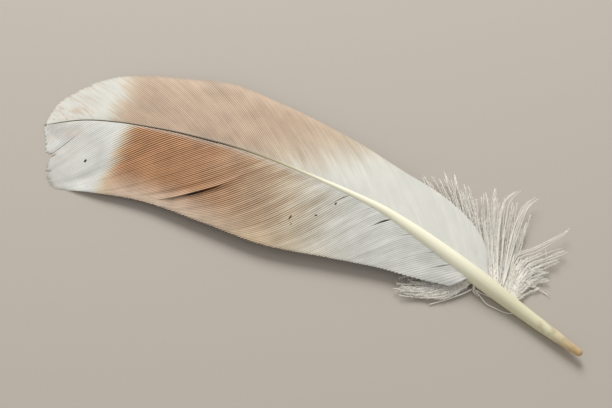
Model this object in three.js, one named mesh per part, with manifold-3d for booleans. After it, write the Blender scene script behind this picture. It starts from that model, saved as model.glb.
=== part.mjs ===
// A goose quill feather, lying as it falls: hollow face down, shaft arched between its two ends.
// Millimetres, +Z up. x runs from the feather's tip (0) to the end of the quill (LENGTH),
// y runs across it, positive towards the narrow outer vane, and z is the height above the surface.
import * as THREE from 'three';
import { mergeVertices } from 'three/addons/utils/BufferGeometryUtils.js';
import Module from 'manifold-3d';

const wasm = await Module();
wasm.setup();

// ---- Driving dimensions ----

const LENGTH = 170;
const ORIGIN = { x: 85, y: 2.3 }; // the middle of the feather's box, where the model's origin lies
const GAP = 0.3; // between pieces that grow from each other

// The shaft: x, y and height of its centre, diameter.
const SHAFT = [
  [0, -7.9, 0.4, 0.3],
  [9.5, -2.4, 1.5, 0.35],
  [19.5, 0.7, 2.8, 0.4],
  [29.5, 2.6, 4.1, 0.5],
  [39.5, 4.05, 5.2, 0.6],
  [59.5, 5.8, 6.7, 0.8],
  [79.5, 5.75, 7.0, 1.2],
  [99.5, 4.7, 6.2, 2.6],
  [109.5, 2.85, 5.5, 3.7],
  [119.5, 0.6, 4.6, 4.5],
  [134.5, -3.1, 3.1, 5.0],
  [149.5, -7.25, 2.0, 4.1],
  [159.5, -10.2, 2.2, 3.4],
  [LENGTH, -13.35, 2.9, 2.1],
];
const SHAFT_END_ROUNDING = 1.1;
const VANE_ATTACHMENT = 0.35; // height on the shaft's side, in its radius
const DOWN_ATTACHMENT = -0.35;

// Barbs of each vane: x where a barb leaves the shaft, then x, y and height of its end on the
// margin, and the directions in which it leaves and ends, in degrees from the feather's tip
// outwards. A height below the surface stands for a barb that is pressed flat against it.
const OUTER_BARBS = [
  [0.5, 0.0, -6.7, 0.2, 40, 40],
  [3, 0.1, -3.9, 0.2, 30, 28],
  [8, 0.6, -0.1, 0.2, 22, 16],
  [16, 2.8, 4.2, 0.2, 20, 12],
  [28.5, 7.2, 10.3, 0.3, 25, 11],
  [40.3, 13.8, 15.8, 0.7, 29, 14],
  [48.4, 21.7, 19.5, 1.3, 33, 19],
  [59, 33.5, 23.3, 2.0, 37, 28],
  [69.6, 45.5, 26.8, 2.5, 44, 33],
  [81.7, 59.5, 26.8, 2.8, 46, 34],
  [93.8, 73.5, 25.7, 3.0, 47, 34],
  [105.4, 87.5, 23.9, 3.0, 50, 36],
  [118, 103.5, 20.5, 3.0, 56, 42],
  [125.7, 115.5, 18.2, 2.9, 64, 50],
  [130.7, 125.5, 14.3, 2.7, 74, 62],
  [134.5, 133.0, 8.3, 2.6, 83, 76],
  [136.5, 136.2, 1.2, 2.8, 82, 80],
];
const INNER_BARBS = [
  [0.5, 0.1, -8.4, 0.2, 14, 14],
  [5, 1.6, -11.7, -0.4, 50, 70],
  [14.3, 5.0, -17.3, -1.2, 46, 65],
  [25, 6.9, -21.7, -1.6, 40, 53],
  [41.5, 9.8, -25.1, -1.4, 38, 39],
  [48, 13.0, -24.5, -0.1, 39, 34],
  [58.5, 21.5, -22.5, 1.5, 39, 27],
  [68.7, 35.5, -19.8, 2.6, 40, 21],
  [80.7, 53.5, -19.3, 3.3, 39, 21],
  [93.2, 71.5, -19.0, 3.6, 34, 31],
  [107.3, 89.5, -15.4, 3.6, 22, 44],
  [121.3, 105.5, -11.6, 3.5, 12, 38],
  [128.7, 117.5, -10.0, 3.4, 14, 34],
  [132.5, 127.0, -8.0, 3.0, 18, 30],
];
const BARB_REACH = { leaving: 0.18, ending: 0.4 }; // how far it holds each direction, in its length
const VANE_THICKNESS = { atShaft: 0.6, atMargin: 0.4 };
const RIDGE_HEIGHT = 0.12; // barbs that stand up between the others

// The split in the inner vane, where the barbs nearer the tip ride up over the next ones.
const SPLIT = { x: 60.5, rise: 0.8, width: 7, dip: 0.3 };
// The notch in the tip margin: its inner end, then two points beyond its mouth.
const NOTCH = [[7.5, -14.5], [3.0, -16.7], [4.3, -20.1]];

// Tufts of down: the stretch of shaft that they grow from, and x, y and height of the tips of
// their long locks, with how far a lock bows towards the quill, where it isn't straight.
const OUTER_DOWN = {
  from: 133,
  to: 146.5,
  tips: [
    [108.5, 22.0, 1.2, 0], [112.5, 23.2, 1.6, 0], [114, 26.6, 2.0, 0], [117.5, 26.3, 2.4, 0],
    [122, 24.8, 2.5, 0], [126, 18.0, 1.6, 0], [128.5, 24.5, 3.0, 0], [130.5, 27.0, 3.4, 0],
    [133.5, 25.0, 4.0, 0], [137.5, 29.0, 4.5, -1], [139.5, 25.0, 4.2, 0], [144.5, 29.8, 3.6, -2],
    [143, 23.6, 3.0, 0], [144, 10.0, 2.0, 0], [155.5, 23.9, 2.5, 3], [157, 17.0, 2.0, 1],
    [154.5, 13.2, 2.0, 0], [153.5, 9.0, 1.5, 0], [154, 6.0, 1.0, 0], [156.5, 1.3, 0.5, 0],
  ],
};
const INNER_DOWN = {
  from: 131,
  to: 136.5,
  tips: [
    [113, -12.3, 1.2, 0], [114.5, -14.8, 1.4, 0], [112.5, -17.0, 1.0, 1], [117, -15.0, 1.2, 0],
    [120, -13.8, 1.0, 0], [123.5, -15.6, 0.8, 0], [147, -10.4, 0.8, 2],
  ],
};
const LOCK = { root: 0.6, tip: 0.24, sides: 4, steps: 3, sag: 0.5 };
const SHORT_LOCK = { shortening: 0.16, widestGap: 12 }; // between two long ones that are neighbours

const MATERIALS = {
  quill: { color: '#e6e1c6', roughness: 0.35 },
  outerVane: { color: '#cbb7a2', roughness: 0.8 },
  innerVane: { color: '#b08a6c', roughness: 0.8 },
  down: { color: '#dad4c6', roughness: 0.95 },
};

// ---- Shapes ----

// A smooth function through rows of [at, value, value, ...].
function smooth(rows) {
  const positions = rows.map((row) => row[0]);
  const values = rows.flatMap((row) => row.slice(1));
  const interpolant = new THREE.CubicInterpolant(positions, values, rows[0].length - 1);
  return (at) => Array.from(interpolant.evaluate(at));
}

const shaftRow = smooth(SHAFT);

class ShaftLine extends THREE.Curve {
  // Steps are shorter towards the quill's rounded end.
  getPoint(t) {
    const x = LENGTH * Math.sin((t * Math.PI) / 2);
    const [y, z] = shaftRow(x);
    return new THREE.Vector3(x, y, z);
  }
}

function shaftRadius(x) {
  const intoRounding = Math.max(0, x - LENGTH + SHAFT_END_ROUNDING) / SHAFT_END_ROUNDING;
  const round = Math.sqrt(Math.max(0.08, 1 - intoRounding ** 2));
  return (shaftRow(x)[2] / 2) * round;
}

// A point beside the shaft at x, clear of it, on the side +1 (outer) or -1 (inner).
function besideShaft(x, side, height, clearance) {
  const [y, z, diameter] = shaftRow(x);
  const slope = shaftRow(x + 0.5)[0] - shaftRow(x - 0.5)[0];
  const across = new THREE.Vector2(-slope, 1).normalize().multiplyScalar(side);
  const reach = diameter / 2 + clearance;
  return new THREE.Vector3(x + across.x * reach, y + across.y * reach, z + height * diameter / 2);
}

// Moves the vertices of a closed three.js geometry, welded first, each by the given function.
function reshape(geometry, place) {
  geometry.deleteAttribute('normal');
  geometry.deleteAttribute('uv');
  const welded = mergeVertices(geometry);
  const positions = welded.attributes.position;
  const vertex = new THREE.Vector3();
  for (let i = 0; i < positions.count; i += 1) {
    vertex.fromBufferAttribute(positions, i);
    const moved = place(vertex);
    positions.setXYZ(i, moved.x, moved.y, moved.z);
  }
  return welded;
}

// A round rod along a curve, with closed ends and a radius that changes along it, flat where it
// meets the surface.
function rod(curve, radiusAt, sides, steps) {
  const cylinder = new THREE.CylinderGeometry(1, 1, 1, sides, steps);
  const up = new THREE.Vector3(0, 0, 1);
  return reshape(cylinder, (vertex) => {
    const t = THREE.MathUtils.clamp(vertex.y + 0.5, 0, 1);
    const centre = curve.getPoint(t);
    const along = curve.getTangent(t);
    const aside = new THREE.Vector3().crossVectors(along, up).normalize();
    const above = new THREE.Vector3().crossVectors(aside, along);
    const radius = radiusAt(t, centre);
    const point = centre.addScaledVector(aside, vertex.x * radius);
    point.addScaledVector(above, vertex.z * radius);
    return point.setZ(Math.max(0, point.z));
  });
}

function toSolid(geometry) {
  const vertProperties = new Float32Array(geometry.attributes.position.array);
  const triVerts = new Uint32Array(geometry.index.array);
  return new wasm.Manifold(new wasm.Mesh({ numProp: 3, vertProperties, triVerts }));
}

function toGeometry(solid) {
  const { vertProperties, triVerts } = solid.getMesh();
  const geometry = new THREE.BufferGeometry();
  geometry.setAttribute('position', new THREE.BufferAttribute(vertProperties, 3));
  geometry.setIndex(new THREE.BufferAttribute(triVerts, 1));
  return geometry;
}

// The point at v (0 root, 1 end) on the barb that leaves the shaft at x.
function barbPoint(row, x, side, v) {
  const [endX, endY, endZ, leavingAngle, endingAngle] = row(x);
  const root = besideShaft(x, side, VANE_ATTACHMENT, GAP);
  const end = new THREE.Vector3(endX, endY, endZ);
  const length = root.distanceTo(end);
  const towards = (degrees) => {
    const angle = THREE.MathUtils.degToRad(degrees);
    return new THREE.Vector3(-Math.cos(angle), side * Math.sin(angle), 0);
  };
  const leaving = root.clone().addScaledVector(towards(leavingAngle), length * BARB_REACH.leaving);
  const ending = end.clone().addScaledVector(towards(endingAngle), -length * BARB_REACH.ending);
  ending.z = (root.z + end.z) / 2;
  return new THREE.CubicBezierCurve3(root, leaving, ending, end).getPoint(v);
}

// How far the split lifts the inner vane at the barb that leaves the shaft at x.
function splitLift(x, v) {
  const along = Math.sin(Math.PI * THREE.MathUtils.clamp((v - 0.1) / 0.9, 0, 1));
  const beyond = (SPLIT.x - x) / SPLIT.width;
  if (beyond < 0) return -SPLIT.dip * along * Math.exp(beyond * 3);
  return SPLIT.rise * along * Math.max(0, 1 - beyond) ** 2;
}

// One vane: a thin sheet whose columns are barbs, every second one standing up as a ridge.
function vane(side, rows, columns, sections, lift) {
  const row = smooth(rows);
  const first = rows[0][0];
  const last = rows[rows.length - 1][0];
  return reshape(new THREE.BoxGeometry(1, 1, 1, columns, sections, 1), (vertex) => {
    const u = 0.5 + side * vertex.x;
    const v = vertex.y + 0.5;
    const x = THREE.MathUtils.lerp(first, last, u);
    const point = barbPoint(row, x, side, v);
    const thickness = THREE.MathUtils.lerp(VANE_THICKNESS.atShaft, VANE_THICKNESS.atMargin, v);
    const middle = Math.max(thickness / 2, point.z) + lift(x, v);
    const isRidge = Math.round(u * columns) % 2 === 1;
    const above = thickness / 2 + (isRidge ? RIDGE_HEIGHT : 0);
    point.z = vertex.z > 0 ? middle + above : middle - thickness / 2;
    return point;
  });
}

function notchCutter() {
  const outline = new THREE.Shape(NOTCH.map(([x, y]) => new THREE.Vector2(x, y)));
  const prism = new THREE.ExtrudeGeometry(outline, { depth: 4, bevelEnabled: false });
  return toSolid(reshape(prism, (vertex) => vertex.clone().setZ(vertex.z - 2)));
}

// One tuft: a root ridge along the shaft with bent tapering locks growing out of it.
function tuft(side, { from, to, tips }) {
  const rootAt = (x) => besideShaft(x, side, DOWN_ATTACHMENT, GAP + LOCK.root);
  const ridge = new THREE.CatmullRomCurve3([from, (from + to) / 2, to].map(rootAt));
  let solid = toSolid(rod(ridge, () => LOCK.root, 6, 6));
  const addLock = (share, [x, y, z, bow], shortening) => {
    const root = rootAt(THREE.MathUtils.lerp(from, to, share));
    const tip = new THREE.Vector3(x, y, z).lerp(root, shortening);
    const aside = new THREE.Vector3(tip.y - root.y, root.x - tip.x, 0).setLength(side * bow);
    const middle = root.clone().lerp(tip, 0.5).add(aside).setZ(LOCK.sag);
    const curve = new THREE.QuadraticBezierCurve3(root, middle, tip);
    const radiusAt = (t) => THREE.MathUtils.lerp(LOCK.root, LOCK.tip, t);
    solid = solid.add(toSolid(rod(curve, radiusAt, LOCK.sides, LOCK.steps)));
  };
  const last = tips.length - 1;
  tips.forEach((tip, i) => {
    addLock(i / last, tip, 0);
    const next = tips[i + 1] ?? tip;
    const gap = Math.hypot(next[0] - tip[0], next[1] - tip[1]);
    if (gap === 0 || gap > SHORT_LOCK.widestGap) return;
    const between = tip.map((value, k) => (value + next[k]) / 2);
    addLock((i + 0.5) / last, between, SHORT_LOCK.shortening);
  });
  return toGeometry(solid);
}

// ---- The feather ----

function piece(name, geometry, finish) {
  geometry.computeVertexNormals();
  const material = new THREE.MeshStandardMaterial({ metalness: 0, ...finish });
  const mesh = new THREE.Mesh(geometry, material);
  mesh.name = name;
  return mesh;
}

function buildFeather() {
  const noLift = () => 0;
  const shaft = rod(new ShaftLine(), (t, centre) => shaftRadius(centre.x), 12, 48);
  const outerVane = vane(1, OUTER_BARBS, 80, 5, noLift);
  const innerVane = toSolid(vane(-1, INNER_BARBS, 80, 6, splitLift)).subtract(notchCutter());
  const feather = new THREE.Group();
  feather.add(piece('quill_shaft', shaft, MATERIALS.quill));
  feather.add(piece('outer_vane', outerVane, MATERIALS.outerVane));
  feather.add(piece('inner_vane', toGeometry(innerVane), MATERIALS.innerVane));
  feather.add(piece('down_outer', tuft(1, OUTER_DOWN), MATERIALS.down));
  feather.add(piece('down_inner', tuft(-1, INNER_DOWN), MATERIALS.down));
  return feather;
}

const feather = buildFeather();
feather.position.set(-ORIGIN.x, -ORIGIN.y, 0);

export default feather;
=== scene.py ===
"""A goose quill feather: shaft, two vanes of single barbs, two tufts of down, specks of dirt."""

import math
import random
from functools import partial

import bmesh
import bpy
from bpy.props import FloatProperty, FloatVectorProperty, IntProperty, PointerProperty
from mathutils import Matrix, Vector
from mathutils.geometry import intersect_point_tri_2d


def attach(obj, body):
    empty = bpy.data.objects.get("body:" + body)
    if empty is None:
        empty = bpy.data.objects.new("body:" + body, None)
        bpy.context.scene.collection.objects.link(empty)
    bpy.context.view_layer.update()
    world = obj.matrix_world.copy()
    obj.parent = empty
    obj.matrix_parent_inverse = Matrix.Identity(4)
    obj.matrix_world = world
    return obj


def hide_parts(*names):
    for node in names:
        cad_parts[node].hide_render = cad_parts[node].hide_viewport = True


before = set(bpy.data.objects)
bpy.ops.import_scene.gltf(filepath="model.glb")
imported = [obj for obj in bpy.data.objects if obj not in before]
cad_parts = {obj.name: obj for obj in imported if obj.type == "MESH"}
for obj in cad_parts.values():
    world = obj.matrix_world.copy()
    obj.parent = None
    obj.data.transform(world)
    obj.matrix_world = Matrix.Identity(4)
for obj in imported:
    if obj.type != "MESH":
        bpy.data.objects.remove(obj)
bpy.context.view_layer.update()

bl_info = {
    "name": "Goose quill feather",
    "version": (1, 0, 0),
    "blender": (4, 5, 0),
    "location": "3D View > Sidebar > Feather",
    "description": "Builds the barbs, shaft and down of a goose quill feather around its solids",
    "category": "Object",
}

# ---- Sizes, in millimetres ----
# x runs from the feather's tip (0) to the end of the quill (LENGTH), y across it, positive
# towards the narrow outer vane, and z is the height above the surface that it lies on.

MM = 0.001
LENGTH = 170.0
ORIGIN = Vector((85.0, 2.3, 0.0))  # the point of the feather that lies at the frame's origin
OUTER, INNER = 1, -1  # the two sides of the shaft

# The shaft: x, y and height of its centre, diameter.
SHAFT = [
    (0, -7.9, 0.4, 0.3),
    (9.5, -2.4, 1.5, 0.35),
    (19.5, 0.7, 2.8, 0.4),
    (29.5, 2.6, 4.1, 0.5),
    (39.5, 4.05, 5.2, 0.6),
    (59.5, 5.8, 6.7, 0.8),
    (79.5, 5.75, 7.0, 1.2),
    (99.5, 4.7, 6.2, 2.6),
    (109.5, 2.85, 5.5, 3.7),
    (119.5, 0.6, 4.6, 4.5),
    (134.5, -3.1, 3.1, 5.0),
    (149.5, -7.25, 2.0, 4.1),
    (159.5, -10.2, 2.2, 3.4),
    (LENGTH, -13.35, 2.9, 2.1),
]
SHAFT_END_ROUNDING = 1.1
GROOVE = {"depth": 0.3, "full": 105, "ends": 135}  # below the shaft: depth in its radius, and x
VANE_ATTACHMENT = 0.35  # height on the shaft's side, in its radius
DOWN_ATTACHMENT = -0.35

# Barbs of each vane: x where a barb leaves the shaft, then x, y and height of its end on the
# margin, and the directions in which it leaves and ends, in degrees from the feather's tip
# outwards.
OUTER_BARBS = [
    (0.5, 0.0, -6.7, 0.2, 40, 40),
    (3, 0.1, -3.9, 0.2, 30, 28),
    (8, 0.6, -0.1, 0.2, 22, 16),
    (16, 2.8, 4.2, 0.2, 20, 12),
    (28.5, 7.2, 10.3, 0.3, 25, 11),
    (40.3, 13.8, 15.8, 0.7, 29, 14),
    (48.4, 21.7, 19.5, 1.3, 33, 19),
    (59, 33.5, 23.3, 2.0, 37, 28),
    (69.6, 45.5, 26.8, 2.5, 44, 33),
    (81.7, 59.5, 26.8, 2.8, 46, 34),
    (93.8, 73.5, 25.7, 3.0, 47, 34),
    (105.4, 87.5, 23.9, 3.0, 50, 36),
    (118, 103.5, 20.5, 3.0, 56, 42),
    (125.7, 115.5, 18.2, 2.9, 64, 50),
    (130.7, 125.5, 14.3, 2.7, 74, 62),
    (134.5, 133.0, 8.3, 2.6, 83, 76),
    (136.5, 136.2, 1.2, 2.8, 82, 80),
]
INNER_BARBS = [
    (0.5, 0.1, -8.4, 0.2, 14, 14),
    (5, 1.6, -11.7, -0.4, 50, 70),
    (14.3, 4.6, -17.5, -1.2, 46, 65),
    (25, 6.3, -22.0, -1.6, 40, 53),
    (41.5, 9.8, -25.1, -1.4, 38, 39),
    (48, 13.0, -24.5, -0.1, 39, 34),
    (58.5, 21.5, -22.5, 1.5, 39, 27),
    (68.7, 35.5, -19.8, 2.6, 40, 21),
    (80.7, 53.5, -19.3, 3.3, 39, 21),
    (93.2, 71.5, -19.0, 3.6, 34, 31),
    (107.3, 89.5, -15.4, 3.6, 22, 44),
    (121.3, 105.5, -12.1, 3.5, 12, 38),
    (128.7, 117.5, -10.6, 3.4, 14, 34),
    (132.5, 127.0, -8.8, 3.0, 18, 30),
]
BARB_REACH = {"leaving": 0.18, "ending": 0.4}  # how far it holds each direction, in its length
# Where the barbs leave the shaft: share of all the vane's barbs, x. Every barb is equally wide,
# so the steeper ones stand closer together on the shaft.
OUTER_SPREAD = [(0, 0.5), (0.1155, 20), (0.2996, 50), (0.5205, 80), (1, 136.5)]
INNER_SPREAD = [(0, 0.5), (0.128, 20), (0.302, 50), (0.4525, 70), (0.636, 90), (1, 132.5)]
VANE_LOWEST = 0.15  # the sheet of barbs lies this high where it is pressed flat
BARB_OVERLAP = 1.2  # a barb's width in its spacing, so that each lies on the next one's edge
BARB_ROOT = 0.15  # how deep a barb is rooted in the shaft, in the shaft's diameter
BARB_STEPS = 32  # faces along a barb
BARB_FACES = 4  # faces across a barb

# The split in the inner vane, where the barbs nearer the tip ride up over the next ones: x where
# the torn barbs leave the shaft, the height and width of their raised lip, and the depth of the
# crease behind it and of the barbs below it. Near the shaft it is only a crest, which starts that
# much farther towards the tip. The pairs say where along a barb each change begins and is complete.
SPLIT = {
    "x": 68.2, "crosses": 5.5, "rise": 0.9, "width": 2.7, "crease": 0.15, "dip": 0.2,
    "grows": (0.12, 0.62), "crossed": (0, 0.5), "tears": (0.5, 0.58), "sinks": (0.72, 0.95),
}

# Places where neighbouring barbs have come unhooked: x where they leave the shaft, how wide the
# gap is, how far beside it the barbs close up, and where it opens, is widest and closes (0 at the
# root of the barb, 1 at its end, and more where it is still open there).
INNER_GAPS = [
    {"x": 14.5, "width": 0.5, "reach": 1.5, "opens": 0.15, "widest": 0.8, "closes": 1.3},
    {"x": 68.2, "width": 0.45, "reach": 3.0, "opens": 0.53, "widest": 0.68, "closes": 0.86},
    {"x": 90.5, "width": 0.45, "reach": 2.0, "opens": -0.1, "widest": 0.12, "closes": 0.36},
    {"x": 98.5, "width": 0.25, "reach": 2.0, "opens": -0.1, "widest": 0.1, "closes": 0.28},
    {"x": 105.0, "width": 0.8, "reach": 2.5, "opens": -0.1, "widest": 0.14, "closes": 0.42},
    {"x": 112.5, "width": 0.4, "reach": 2.0, "opens": -0.1, "widest": 0.12, "closes": 0.34},
    {"x": 121.0, "width": 0.3, "reach": 2.0, "opens": -0.1, "widest": 0.15, "closes": 0.34},
    {"x": 127.0, "width": 0.5, "reach": 1.5, "opens": -0.1, "widest": 0.3, "closes": 0.65},
]
# The notch in the tip margin, where barbs are broken off: its inner end, then two points beyond
# its mouth.
NOTCH = [Vector((7.2, -14.7)), Vector((3.0, -16.6)), Vector((3.5, -20.1))]
NOTCH_BARBS = 25  # no barb that leaves the shaft farther from the tip reaches it
NOTCH_STEPS = 50  # places along a barb that are tried for lying in the notch

# The two vanes. A barb's one edge lies higher by the tilt. Wear is the largest share of its length
# that a barb has lost, what the feather's tip adds to that, and x up to which it adds all of it
# and past which it adds nothing. Looks are how much paler the rim (from a share of the barb's
# length on: its own paler tone and a painted highlight) and the roots are, how much the painted
# shade in the furrows, the painted highlight on the ribs and the painted light and shade of streaks
# and patches change the colour, how much of that the white shows, and how strong the flecks of
# pigment at the tip are. A zone says at which x the vane is white and at which it is tan, and how
# many millimetres fine streaks, wide streaks, the rib and the way inwards from the margin move
# that edge.
VANES = {
    "outer": {
        "side": OUTER, "rows": OUTER_BARBS, "spread": OUTER_SPREAD, "tilt": 0.07,
        "wear": {"anywhere": 0.006, "tip": 0.03, "all": 20, "nothing": 40},
        "gaps": [], "split": None, "notch": None,
        "looks": {
            "rim_tone_and_highlight": 0.25, "rim_from": 0.8, "roots": 0.2, "furrow_shade": 0.03, "rib": 0.02,
            "streak": 0.08, "painted_tilt_patches": 0.1, "pale_contrast": 0.3, "flecks": 0.8,
            "roughness": 0.55,
        },
        "zones": [
            {"white": 13.5, "tan": 23.5, "fine": 9, "wide": 8, "rib": -1.5, "inwards": 0},
            {"white": 108, "tan": 72, "fine": 8, "wide": 14, "rib": 6, "inwards": 22},
        ],
    },
    "inner": {
        "side": INNER, "rows": INNER_BARBS, "spread": INNER_SPREAD, "tilt": 0.08,
        "wear": {"anywhere": 0.006, "tip": 0.05, "all": 25, "nothing": 45},
        "gaps": INNER_GAPS, "split": SPLIT, "notch": NOTCH,
        "looks": {
            "rim_tone_and_highlight": 0.85, "rim_from": 0.6, "roots": 0.4, "furrow_shade": 0.2, "rib": 0.05,
            "streak": 0.1, "painted_tilt_patches": 0.16, "pale_contrast": 0.6, "flecks": 0.25,
            "roughness": 0.6,
        },
        "zones": [
            {"white": 20, "tan": 25.5, "fine": 4, "wide": 4, "rib": -1.5, "inwards": 0},
            {"white": 108, "tan": 54, "fine": 14, "wide": 18, "rib": 12, "inwards": 8},
        ],
    },
}

# Tufts of down: the stretch of shaft that they grow from, and their locks, each with the share of
# that stretch where it grows, its barbs, how far apart they end, and the points x, y, z that it
# passes on its way to its end. Strands are single threads that lie apart: points and radius.
OUTER_DOWN = {
    "side": OUTER,
    "from": 133.0,
    "to": 146.5,
    "locks": [
        (0.02, 6, 1.0, [(108.3, 21.8, 1.2)]),
        (0.04, 5, 0.8, [(110.6, 22.6, 1.4)]),
        (0.06, 6, 1.0, [(112.8, 22.7, 1.6)]),
        (0.08, 5, 1.0, [(114.5, 23.3, 1.9)]),
        (0.10, 3, 0.2, [(114.3, 26.1, 2.0)]),
        (0.12, 6, 1.2, [(116, 23.5, 1.8)]),
        (0.15, 3, 0.2, [(117.4, 26.2, 2.4)]),
        (0.16, 5, 1.0, [(118.2, 24, 2.2)]),
        (0.18, 7, 1.0, [(120.1, 23.4, 2.4)]),
        (0.22, 7, 0.8, [(122.1, 24.1, 2.4)]),
        (0.27, 7, 1.4, [(124.5, 19.5, 1.6)]),
        (0.32, 7, 1.2, [(125.9, 21.8, 2.2)]),
        (0.37, 7, 0.8, [(128.1, 24.4, 3.0)]),
        (0.42, 3, 0.25, [(130.2, 26.3, 3.4)]),
        (0.46, 7, 1.2, [(131.5, 23.5, 3.2)]),
        (0.50, 6, 1.0, [(132.6, 24.2, 3.4)]),
        (0.54, 5, 0.4, [(134.8, 22.5, 3.2), (137.3, 28.3, 4.4)]),
        (0.58, 6, 0.9, [(137.2, 24.6, 3.6)]),
        (0.63, 5, 0.35, [(140.1, 22.6, 3.4), (143.3, 28.9, 3.8)]),
        (0.68, 8, 0.7, [(142.1, 22.8, 3.4)]),
        (0.72, 6, 1.0, [(140.5, 15, 2.4)]),
        (0.78, 5, 0.6, [(144.2, 5.5, 1.6), (145.5, 9.8, 1.8)]),
        (0.84, 4, 0.15, [(143, 8.4, 1.6), (147.2, 12.3, 2.2), (152.1, 17.9, 2.8), (154.6, 21.5, 3.0),
                         (155, 23.4, 3.2)]),
        (0.86, 6, 0.8, [(145.6, 6.2, 1.6), (151.6, 13, 2.2)]),
        (0.88, 5, 0.4, [(147, 6.8, 1.8), (150.8, 11.2, 2.0), (156.6, 16.7, 2.2)]),
        (0.90, 7, 0.9, [(147.6, 5.2, 1.7), (155, 12.7, 1.8)]),
        (0.93, 5, 0.8, [(146.4, 3.2, 1.4), (150.2, 8.3, 1.6)]),
        (0.92, 6, 0.9, [(148.3, 4.2, 1.5), (153.4, 8.3, 1.4)]),
        (0.95, 6, 0.8, [(148.8, 2.2, 1.2), (153.6, 6.2, 1.0)]),
        (0.97, 5, 0.8, [(147.6, 0.8, 0.9), (150.5, 3.5, 0.9)]),
        (0.99, 3, 0.6, [(149, 0.9, 0.8), (152.2, 2.6, 0.8)]),
        (1.0, 2, 0.4, [(147.3, -0.3, 0.5)]),
        (1.0, 2, 0.15, [(149.6, 1.5, 0.8), (156.5, 1.5, 0.5)]),
    ],
    "strands": [
        ([(149.0, 3.8, 1.0), (150.3, 4.2, 1.1), (151.3, 3.2, 1.2), (150.9, 1.9, 1.2),
          (149.6, 1.6, 1.1), (148.7, 2.5, 1.0), (149.2, 4.1, 0.9)], 0.1),
        ([(150.5, 14.3, 2.0), (151.3, 12.8, 2.1), (151.6, 11.2, 1.8)], 0.09),
    ],
}
INNER_DOWN = {
    "side": INNER,
    "from": 130.5,
    "to": 137.0,
    "locks": [
        (0.10, 8, 0.9, [(122.4, -11.0, 1.6), (113.1, -14.8, 1.8)]),
        (0.25, 8, 0.9, [(124.5, -11.1, 1.3), (112.5, -16.5, 1.6)]),
        (0.35, 7, 0.8, [(125, -11.2, 1.2), (117, -15, 1.4)]),
        (0.30, 7, 1.0, [(127.8, -8.6, 1.4), (117.1, -12.4, 1.9)]),
        (0.45, 6, 0.7, [(125.8, -11.2, 1.1), (120, -13.9, 1.3)]),
        (0.00, 4, 0.5, [(120, -8.5, 1.6), (112.8, -12.3, 1.6)]),
        (0.02, 4, 0.5, [(121, -8.3, 1.5), (113.8, -11.4, 1.7)]),
        (0.04, 4, 0.5, [(122, -8.3, 1.5), (115.5, -12, 1.6)]),
        (0.06, 4, 0.5, [(123, -8.3, 1.5), (117.5, -11.4, 1.5)]),
        (0.10, 3, 0.5, [(124, -8, 1.4), (118.7, -11, 1.4)]),
        (0.30, 2, 0.15, [(127, -8.5, 1.1), (123.1, -8.1, 1.4)]),
        (0.60, 4, 0.3, [(136.6, -7.1, 0.9)]),
    ],
    "strands": [
        ([(133.9, -6, 1.0), (131.4, -8.8, 0.9), (129, -11, 0.7), (126.4, -13.2, 0.5),
          (123.6, -15.4, 0.4)], 0.26),
        ([(134.8, -6.2, 1.2), (136.6, -7.1, 1.0), (139, -8.5, 0.7), (141.9, -8.8, 0.5),
          (145.1, -9, 0.6), (147.9, -8.3, 0.9)], 0.2),
        ([(134.8, -6, 1.3), (136.7, -6.3, 1.2), (140.2, -6.5, 1.3), (144, -7.4, 1.3),
          (147.1, -8.3, 1.1)], 0.17),
    ],
}
LOCK_SAG = 0.5  # height of the middle of a lock
DOWN_STEPS = 12  # along a barb of down
DOWN_RADIUS = 0.15
DOWN_ROOT = 0.3  # how deep it is rooted in the shaft
DOWN_TAPER = 0.55  # share of its radius that it loses towards its end
DOWN_WAVE = (0.1, 0.55)  # least and most that it swings aside, and up, at its end
BARBULE_RADII = (0.45, 0.18)  # at root and end, in DOWN_RADIUS
DOWN_FAN = 0.9  # how far a lock's outermost barbs lie from its line, halfway along it

BARB_MAP = "OFBake"  # each barb has a strip of this map: x along the shaft, y along the barb


# ---- Small helpers ----


def linear(colour):
    """An sRGB hex colour as the linear colour that shaders work in."""
    channels = [int(colour[i : i + 2], 16) / 255 for i in (1, 3, 5)]
    return tuple(c / 12.92 if c <= 0.04045 else ((c + 0.055) / 1.055) ** 2.4 for c in channels)


def clamp(value, low=0.0, high=1.0):
    return max(low, min(high, value))


def ease(value, start, end):
    """0 before start, 1 after end, and smooth between them."""
    t = clamp((value - start) / (end - start))
    return t * t * (3 - 2 * t)


def in_frame(point):
    """A point of the feather, in millimetres, as a place in the frame, in metres."""
    return (point - ORIGIN) * MM


def smooth(rows):
    """A smooth function through rows of (at, value) or (at, value, value, ...)."""
    places = [row[0] for row in rows]
    values = [Vector(row[1:]) if len(row) > 2 else row[1] for row in rows]
    last = len(rows) - 1
    slopes = [None] * len(rows)
    for i in range(1, last):
        slopes[i] = (values[i + 1] - values[i - 1]) / (places[i + 1] - places[i - 1])
    for end, inside in ((0, 1), (last, last - 1)):  # straight at both ends
        chord = (values[inside] - values[end]) / (places[inside] - places[end])
        slopes[end] = (3 * chord - slopes[inside]) / 2

    def at(place):
        i = max(k for k in range(last) if k == 0 or places[k] <= place)
        step = places[i + 1] - places[i]
        t = (place - places[i]) / step
        return (
            values[i] * ((1 + 2 * t) * (1 - t) ** 2)
            + slopes[i] * (step * t * (1 - t) ** 2)
            + values[i + 1] * (t * t * (3 - 2 * t))
            - slopes[i + 1] * (step * t * t * (1 - t))
        )

    return at


shaft_row = smooth(SHAFT)


def beside_shaft(x, side, height, clearance):
    """The point beside the shaft at x, at a height in its radius and clear of its skin."""
    y, z, diameter = shaft_row(x)
    slope = shaft_row(x + 0.5)[0] - shaft_row(x - 0.5)[0]
    across = Vector((-slope, 1)).normalized() * side * (diameter / 2 + clearance)
    return Vector((x + across.x, y + across.y, z + height * diameter / 2))


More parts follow.
